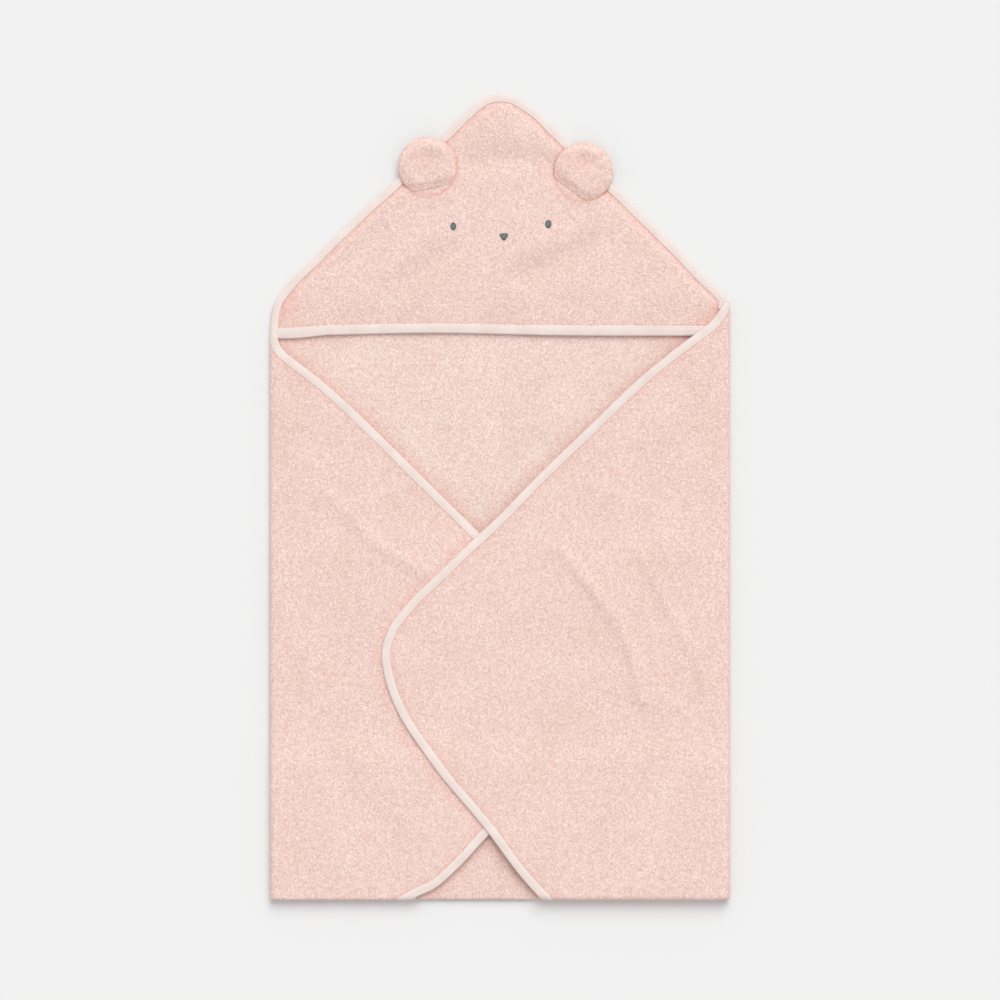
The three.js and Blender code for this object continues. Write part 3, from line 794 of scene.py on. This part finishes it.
def flap_grid(line, roll, end_radius, steps, columns):
    """The flat points of a flap: rows along the fold, each from the free edge to the end of the lap."""
    reach = roll - HALF
    bend_start = BOTTOM + end_radius + HALF
    low = bend_start - end_radius * (np.pi / 2 + 0.2)
    high = line[-1, 1] - 1.0
    bend = np.linspace(low, bend_start, 7)
    along = np.concatenate([bend, np.linspace(bend_start, high, steps)[1:]])
    inner = line + sideways(line) * INSIDE_TAPE
    order = inner[:, 1].argsort()
    edge = np.interp(along, inner[order, 1], inner[order, 0])
    end = roll - np.pi * reach - LAP
    split = np.minimum(roll, (edge + end) / 2)
    broad, narrow = np.linspace(0, 1, columns), np.linspace(0, 1, 20)[1:]
    u = np.concatenate(
        [
            edge[:, None] + (split - edge)[:, None] * broad[None],
            split[:, None] + (end - split)[:, None] * narrow[None],
        ],
        axis=1,
    )
    return u, np.repeat(along[:, None], u.shape[1], 1)


print("the end fold turns through", round(np.degrees(END_CURL)), "degrees")

# %% Right flap
RIGHT_ROLL, LEFT_ROLL = 6.8, 5.4
RIGHT_END_RADIUS, LEFT_END_RADIUS = 2.8, 1.4
RIGHT_EDGE = [
    (3.0, 176), (6.0, 173.2), (8.8, 168.8), (14.1, 161), (21, 154), (31.4, 146.3), (46.2, 135.3),
    (80.7, 107.2), (128, 62), (176.4, 15.2), (209.5, -18.8), (226, -34), (262, -68.5),
    (293, -99.5), (307, -119), (313, -140), (310.5, -161), (303, -184), (268.4, -239.5),
    (218.7, -300.2), (183.5, -346.5), (174, -357), (166, -365), (161, -370),
]  # fmt: skip
RIGHT_HEIGHTS = [
    (BOTTOM - 20, 11.2), (TUCK_TOP + 5, 11.2), (TUCK_TOP + 42, 8.6), (-62, 8.6), (-20, 7.4),
    (100, 6.6), (MOUTH - 5, 6.6), (PEAK, 6.6),
]  # fmt: skip
RIGHT_WRINKLES = [
    ([(55.8, -48.7), (81.9, -81), (105.3, -111.7), (119.7, -144), (126.9, -182.8)], 6, 1.25),
    ([(68, -36), (94, -68), (118, -99), (134, -138), (140, -180)], 17, 0.6),
    ([(125, -50), (147, -91), (188, -172)], 6, 0.8),
    ([(138, -40), (160, -82), (200, -160)], 14, 0.25),
    ([(96, 40), (140, 20), (186, -6)], 18, -0.25),
    ([(60, -240), (110, -262), (160, -250)], 20, -0.25),
    ([(150, 60), (178, 100)], 14, 0.4),
]
right_line = line_through(RIGHT_EDGE, 1.8)[::-1]
right_place = flap_shape(1, RIGHT_ROLL, RIGHT_END_RADIUS, RIGHT_HEIGHTS, RIGHT_WRINKLES, 41)
print("right flap edge points:", len(right_line))

# %% Left flap
LEFT_EDGE = [
    (6.6, 151), (6.8, 144), (8.0, 138.8), (11.2, 133), (15.9, 128.2), (28.5, 118.5),
    (46.2, 104.7), (66.3, 86.9), (91.5, 63), (120.7, 34.1), (139.7, 15.2), (187.4, -31.8), (235, -80),
    (276, -121), (297, -148), (304, -172), (297, -197), (270, -230), (235, -266),
    (196.3, -304.4), (166.2, -336.4), (147, -352.6), (133, -359), (122.5, -365), (116, -369),
]  # fmt: skip
LEFT_HEIGHTS = [
    (BOTTOM - 20, 8.4), (TUCK_TOP + 5, 8.4), (TUCK_TOP + 42, 5.7), (-62, 5.7), (-20, 4.4),
    (90, 4.6), (MOUTH - 22, 5.0), (MOUTH, 3.5), (MOUTH + 6, 1.6), (PEAK, 1.6),
]  # fmt: skip
LEFT_WRINKLES = [
    ([(-157, 4), (-113, -40), (-68, -68)], 7, 0.8),
    ([(-148, 20), (-104, -22), (-60, -50)], 20, 0.35),
    ([(-180, 100.7), (-193.5, 78.2)], 7, -0.5),
    ([(-172, 92), (-184, 72)], 10, 0.35),
    ([(-170, -110), (-140, -150)], 18, -0.5),
    ([(-120, -230), (-80, -290)], 20, 0.5),
]
left_line = line_through(LEFT_EDGE, 1.8)[::-1]
left_place = flap_shape(-1, LEFT_ROLL, LEFT_END_RADIUS, LEFT_HEIGHTS, LEFT_WRINKLES, 43)
print("left flap edge points:", len(left_line))

# %% [markdown]
# The line of a flap's edge has to keep the cloth on its left. Measured inwards from the fold, that is
# from the bottom of the flap to the top.

# %% Flap cloth, tape and stitches
def shade_under_edge(grid, line):
    """Painted shade where another layer's edge lies on it: a bell curve off that edge."""
    if line is None:
        return 0.0
    return 0.26 * np.exp(-((off_line(*grid, line) / 8) ** 2))


def make_flap(side, line, place, roll, end_radius, start, end, seed, shading_edge=None):
    """One flap with its tape and stitches. Start and end are not used."""
    grid = flap_grid(line, roll, end_radius, 252, 158)
    around = np.clip((roll - grid[0]) / (roll - HALF), 0, np.pi)
    thin = 1 - 0.6 * ease(around, 0.75 * np.pi, np.pi)
    sheet = terry_layer(
        f"{side}_flap_sheet", place, *grid, [line[::2]], seed, outer_terry, "terry", thin,
        shade_under_edge(grid, shading_edge),
    )
    strip = tape(f"{side}_flap_tape", place, line, PRESSED_HALF, seed=seed + 1)
    seam = stitches(f"{side}_flap_stitches", place, line, PRESSED_HALF)
    low, high = (0, 0, start * MM), (0, 0, end * MM)
    for piece in (sheet, strip, seam):
        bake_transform(piece)
        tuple(low)
        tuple(high)
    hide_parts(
        f"{side}_flap_panel", f"{side}_side_fold", f"{side}_flap_end_fold"
    )
    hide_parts(f"{side}_flap_binding")
    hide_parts(f"{side}_flap_seam")
    return sheet, grid, [strip, seam]


right_flap = make_flap(
    "right", right_line, right_place, RIGHT_ROLL, RIGHT_END_RADIUS, 2.4, 5.6, 51
)
# Painted shadow on the left flap along the right flap's edge.
over_left = right_line[::5] * [-1, 1] + [2 * HALF_WIDTH, 0]
left_flap = make_flap(
    "left", left_line, left_place, LEFT_ROLL, LEFT_END_RADIUS, 1.3, 4.0, 61, over_left
)

# %% [markdown]
# ## Tail
#
# The bottom corner is turned up inside the flaps. A small part of it shows between them at the bottom.
# It bends round the bottom fold in the same way as the flaps do at the sides.

# %% Tail
TAIL_RADIUS = 1.4
TAIL_START = BOTTOM + TAIL_RADIUS + HALF
TAIL_TOP = -67.4
TAIL_STEP = 2.4
tail_edge = [
    (199.6, -242.1), (160, -202.5), (120, -162.5), (80, -122.5), (55, -97.6), (42.4, -86),
    (30, -76.5), (15, -69.8), (0, TAIL_TOP), (-15, -69.8), (-30, -76.5), (-42.4, -86),
    (-55, -97.6), (-80, -122.5), (-120, -162.5), (-160, -202.5), (-200.9, -243.4),
]  # fmt: skip
tail_line = line_through(tail_edge, TAIL_STEP)


def tail_place(x, along, lift):
    """The tail lies on the back, goes round half a circle at the bottom fold and laps under the back."""
    turned = np.clip((TAIL_START - along) / TAIL_RADIUS, 0, np.pi)
    beyond = np.clip((TAIL_START - along) - np.pi * TAIL_RADIUS, 0, None)
    y = np.where(turned > 0, TAIL_START - TAIL_RADIUS * np.sin(turned) + beyond, along)
    flat_height = PITCH + HALF + 0.35 * ease(along, TAIL_START, TAIL_START + 8)
    z = np.where(turned > 0, HALF + TAIL_RADIUS + TAIL_RADIUS * np.cos(turned), flat_height)
    z = z - 0.5 * ease(turned, 0.75 * np.pi, np.pi)
    return np.stack([x + 0 * along, y - np.sin(turned) * lift, z + np.cos(turned) * lift], -1)


low = TAIL_START - np.pi * TAIL_RADIUS - LAP
even = np.arange(TAIL_START + TAIL_STEP, -92, TAIL_STEP)
y = np.concatenate([np.linspace(low, TAIL_START, 14), even])
last = TAIL_TOP - INSIDE_TAPE - 0.3
y = np.concatenate([y, last + (y[-1] + TAIL_STEP - last) * (1 - np.linspace(0, 1, 14)) ** 2])
inner = tail_line + sideways(tail_line) * INSIDE_TAPE
top = inner[:, 1].argmax()
right = np.minimum(np.interp(y, inner[: top + 1, 1], inner[: top + 1, 0]), 199.4)
left = np.maximum(np.interp(y, inner[top:, 1][::-1], inner[top:, 0][::-1]), LEFT_STOP)
u, v = spread_rows(y, left, right, 150)
turned = np.clip((TAIL_START - v) / TAIL_RADIUS, 0, np.pi)
tail_thin = 1 - 0.6 * ease(turned, 0.75 * np.pi, np.pi)
# Painted shadow on the tail along both flaps' edges.
over_right = right_line[::5] * [-1, 1] + [HALF_WIDTH, 0]
over_tail = np.concatenate([over_right, left_line[::5] - [HALF_WIDTH, 0]])
tail_sheet = terry_layer(
    "tail_sheet", tail_place, u, v, [tail_line], 71, outer_terry, "terry", tail_thin,
    shade_under_edge((u, v), over_tail),
)
tail_tape = tape("tail_tape", tail_place, tail_line, PRESSED_HALF, seed=72)
tail_stitches = stitches("tail_stitches", tail_place, tail_line, PRESSED_HALF)
for piece in (tail_sheet, tail_tape, tail_stitches):
    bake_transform(piece)
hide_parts("tail_panel", "tail_fold")
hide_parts("tail_binding")
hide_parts("tail_seam")
declare_cloth(tail_sheet, u, v, "folded", ["back_sheet"], [tail_tape, tail_stitches])

# %% [markdown]
# ## Tucks
#
# Turning up the tail leaves a three-cornered tuck inside the bottom of each flap. It goes up into the
# end fold, inside the flap's own cloth.

# %% Tucks
def make_tuck(side, sign, roll, lower_end, end_radius, end_middle, middle, seed):
    """One tuck: flat cloth under the flap, whose bottom edge goes up round the end fold."""
    bend_start = BOTTOM + end_radius + HALF

    def place(inward, along, lift):
        past = np.clip((bend_start - along) / end_radius, 0, 1.9)
        y = np.where(past > 0, bend_start - end_radius * np.sin(past), along)
        bent = end_middle - (end_middle - middle) * np.cos(past)
        z = np.where(past > 0, bent, middle)
        x = sign * (HALF_WIDTH - inward) + 0 * along
        return np.stack([x, y - np.sin(past) * lift * 0.5, z + np.cos(past) * lift], -1)

    low = bend_start - end_radius * (np.pi / 2 + 0.1)
    first = np.array([lower_end, low])
    final = np.array([roll + 1.5, TUCK_TOP - roll - 1.5])
    line = first + (final - first) * np.linspace(0, 1, 100)[:, None]
    inner = line + sideways(line) * INSIDE_TAPE
    high = inner[-1, 1] - 2
    along = np.concatenate([np.linspace(low, bend_start, 6), np.linspace(bend_start, high, 44)[1:]])
    edge = np.interp(along, inner[:, 1], inner[:, 0])
    share = np.linspace(0, 1, 64)[None, :]
    stop = roll + 0.4
    u = edge[:, None] + (stop - edge)[:, None] * share
    v = np.repeat(along[:, None], 64, 1)
    thin = np.full(u.shape, 0.75)
    sheet = terry_layer(
        f"{side}_tuck_sheet", place, u, v, [line], seed, outer_terry, "terry", thin
    )
    strip = tape(f"{side}_tuck_tape", place, line, 0.5, seed=seed + 1)
    seam = stitches(f"{side}_tuck_stitches", place, line, 0.5)
    for piece in (sheet, strip, seam):
        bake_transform(piece)
    for piece, node in ((sheet, "panel"), (strip, "binding"), (seam, "seam")):
        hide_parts(f"{side}_tuck_{node}")
    declare_cloth(sheet, u, v, "folded", ["tail_sheet"], [strip, seam])


make_tuck("right", 1, RIGHT_ROLL, 171.0, RIGHT_END_RADIUS, 9.6, 6.8, 81)
make_tuck("left", -1, LEFT_ROLL, 137.0, LEFT_END_RADIUS, 8.2, 6.7, 91)
for (sheet, grid, extras), under in (
    (right_flap, ["left_flap_sheet", "tail_sheet"]),
    (left_flap, ["tail_sheet", "back_sheet"]),
):
    declare_cloth(sheet, *grid, "folded", under, extras)

# %% [markdown]
# ## Ears
#
# An ear is two discs of terry sewn round, turned and lightly stuffed, with its straight base sewn to the
# hood. It is thickest in a ring inside its rim, a little hollow in the middle, and thin at the base. The
# surface is a function of the angle round the ear and the share of the way out to the rim.

# %% Ears
EAR_BASE = 20.5
EAR_SEAT = 6.0


def ear_rim(angle):
    """The distance to the rim at each angle: the circle, or the straight base where that is nearer."""
    down = np.maximum(-np.sin(angle), 1e-3)
    base = EAR_BASE / down
    return -np.log(np.exp(-EAR_RADIUS / 1.2) + np.exp(-np.minimum(base, 60) / 1.2)) * 1.2


def make_ear(side, across, down, turn, dimple, seed):
    """One ear: an upper and a lower face that meet at the rim."""
    angle = np.linspace(0, 2 * np.pi, 129)[:, None]
    share = np.sqrt(np.linspace(0, 1, 34) * (2 - np.linspace(0, 1, 34)))[None, :]
    radius = ear_rim(angle) * share
    x, y = radius * np.cos(angle), radius * np.sin(angle)
    lumps = 0.35 * noise(x, y, 6.5, seed) + 0.3 * pile(x, y, seed + 1)
    lumps = lumps + 0.5 * noise(x, y, 15, seed + 3)
    full = np.sqrt(np.clip(1 - share**3.2, 0, 1))
    base = 0.6 + 0.4 * ease(y + EAR_BASE, 0, 11)
    ring = 1.2 * np.exp(-(((share - 0.72) / 0.17) ** 2))
    hollow = 2.3 * np.exp(-((x - dimple[0]) ** 2 + (y - dimple[1]) ** 2) / 7.5**2)
    upper = EAR_SEAT + 1.6 + full * (base * (4.2 + ring - hollow) + lumps)
    lower = EAR_SEAT + 1.6 - full * (1.35 + 0.15 * lumps)
    turn = np.radians(turn)
    wx = across + x * np.cos(turn) - y * np.sin(turn)
    wy = PEAK - down + x * np.sin(turn) + y * np.cos(turn)
    rows, columns = x.shape[0] - 1, x.shape[1]
    grids = [np.stack([wx, wy, z], -1)[:-1] for z in (upper, lower)]
    at = np.arange(rows * columns).reshape(rows, columns)
    around = np.roll(at, -1, 0)
    front = np.stack([at[:, :-1], at[:, 1:], around[:, 1:], around[:, :-1]], -1).reshape(-1, 4)
    faces = np.concatenate([front, front[:, ::-1] + rows * columns])
    points = np.concatenate([g.reshape(-1, 3) for g in grids])
    flat = np.stack([x[:-1], y[:-1]], -1).reshape(-1, 2)
    flat = np.concatenate([flat, flat + 90]) + seed
    ear = piece_from(f"{side}_ear", points, faces, flat, outer_terry, "terry")
    # Painted shade on the ear: a band at its edge, a band along its base seam and a patch in the dimple.
    rim = 0.4 * ease(share + 0 * x, 0.93, 1) + 0.35 * np.exp(-(((y + EAR_BASE - 5.5) / 1.8) ** 2))
    dimple_shade = 0.25 * np.exp(-((x - dimple[0]) ** 2 + (y - dimple[1]) ** 2) / 7**2)
    write_shade(ear, "painted_shade", np.tile(np.clip(rim + dimple_shade, 0, 1)[:-1].ravel(), 2))
    soft = bmesh.new()
    soft.from_mesh(ear.data)
    bmesh.ops.remove_doubles(soft, verts=soft.verts, dist=1e-6)
    soft.to_mesh(ear.data)
    soft.free()
    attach(ear, f"{side}_ear")
    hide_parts(f"{side}_ear_back", f"{side}_ear_front")


make_ear("left", *LEFT_EAR, 11, (2, 4), 101)
make_ear("right", *RIGHT_EAR, -37, (-3, 8), 111)

# %% [markdown]
# ## Embroidered eyes and nose
#
# Each mark is worked in thread: rows of satin stitch side by side fill it, and a ring of short stitches
# goes round them.

# %% Embroidery
THREAD = 0.34


def embroider(name, node, across, down, wide, tall, shape):
    """One mark. Shape gives its size at each angle, as a share of half its width and height."""
    angle = np.linspace(0, 2 * np.pi, 241)
    edge_x, edge_y = (shape(angle) * size / 2 for size in (wide, tall))
    edge_x, edge_y = edge_x * np.cos(angle), edge_y * np.sin(angle)
    columns = np.arange(edge_x.min() + 0.45, edge_x.max() - 0.3, 0.5)
    over, under = edge_y >= 0, edge_y <= 0
    order_over, order_under = edge_x[over].argsort(), edge_x[under].argsort()
    high = np.interp(columns, edge_x[over][order_over], edge_y[over][order_over])
    low = np.interp(columns, edge_x[under][order_under], edge_y[under][order_under])
    ring = np.linspace(0, 240, 17).astype(int)
    start_x = np.concatenate([columns, edge_x[ring[:-1]]]) + across
    end_x = np.concatenate([columns + 0.12, edge_x[ring[1:]]]) + across
    start_y = np.concatenate([low + 0.25, edge_y[ring[:-1]]]) + PEAK - down
    end_y = np.concatenate([high - 0.25, edge_y[ring[1:]]]) + PEAK - down
    lift = np.full(len(start_x), HALF + 0.55)
    starts, ends = (hood_place(a, b, lift) for a, b in ((start_x, start_y), (end_x, end_y)))
    ups = np.tile([0.0, 0.0, 1.0], (len(starts), 1))
    shade = np.concatenate([np.ones(len(columns)), np.zeros(16)])
    mark = strands(name, starts, ends, ups, THREAD, embroidery_thread, "embroidery", shade)
    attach(mark, "back")
    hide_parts(node)


embroider("left_eye_stitches", "left_eye", -42, 119, 4.6, 6.2, lambda a: 1 + 0 * a)
embroider("right_eye_stitches", "right_eye", 43.5, 117, 5.0, 6.8, lambda a: 1 + 0 * a)
embroider(
    "nose_stitches", "nose", 3.5, 128, 7.6, 6.6, lambda a: 0.85 + 0.16 * np.sin(3 * a)
)

# %% [markdown]
# ## Floor and light
#
# The towel lies on a plain pale floor. The light is a sun with a very wide disc, halfway up the sky beyond
# the hood, and even light from all round, so the shadows beside the cloth are soft and pale.

# %% Floor, light and colour
def pale_floor():
    """A plain matt surface just under the cloth."""
    material = bpy.data.materials.new("floor")
    material.use_nodes = True
    shader = material.node_tree.nodes["Principled BSDF"]
    feed(material, shader, Base_Color=(0.8, 0.8, 0.8, 1), Roughness=0.9, Specular_IOR_Level=0.1)
    mesh = bpy.data.meshes.new("floor")
    size = 6.0
    corners = [(-size, -size, -0.0006), (size, -size, -0.0006), (size, size, -0.0006)]
    mesh.from_pydata(corners + [(-size, size, -0.0006)], [], [(0, 1, 2, 3)])
    mesh.materials.append(material)
    floor = bpy.data.objects.new("floor", mesh)
    bpy.context.scene.collection.objects.link(floor)
    floor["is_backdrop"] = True


def soft_sun(name, towards_light, spread, strength):
    """Light from one side of the sky, spread over a wide angle so that its shadows are soft."""
    data = bpy.data.lights.new(name, "SUN")
    data.angle = spread
    data.energy = strength
    sun = bpy.data.objects.new(name, data)
    sun.rotation_euler = Vector(towards_light).to_track_quat("Z", "Y").to_euler()
    bpy.context.scene.collection.objects.link(sun)


pale_floor()
soft_sun("soft_sun", (0.2, 0.85, 1.05), 0.8, 1.75)
world = bpy.data.worlds.new("world")
world.use_nodes = True
world.node_tree.nodes["Background"].inputs["Color"].default_value = (1, 1, 1, 1)
world.node_tree.nodes["Background"].inputs["Strength"].default_value = 0.68
bpy.context.scene.world = world
bpy.context.scene.view_settings.view_transform = "Standard"

# %% [markdown]
# ## Sizes, and the end
#
# The finished towel's box is measured; both boxes are kept together, and the towel's is printed.

# %% Finish
boxes = {"cad": cad_box, "visual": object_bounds()}
boxes = {key: [[float(x) for x in corner] for corner in box] for key, box in boxes.items()}
print("visual box:", boxes["visual"])
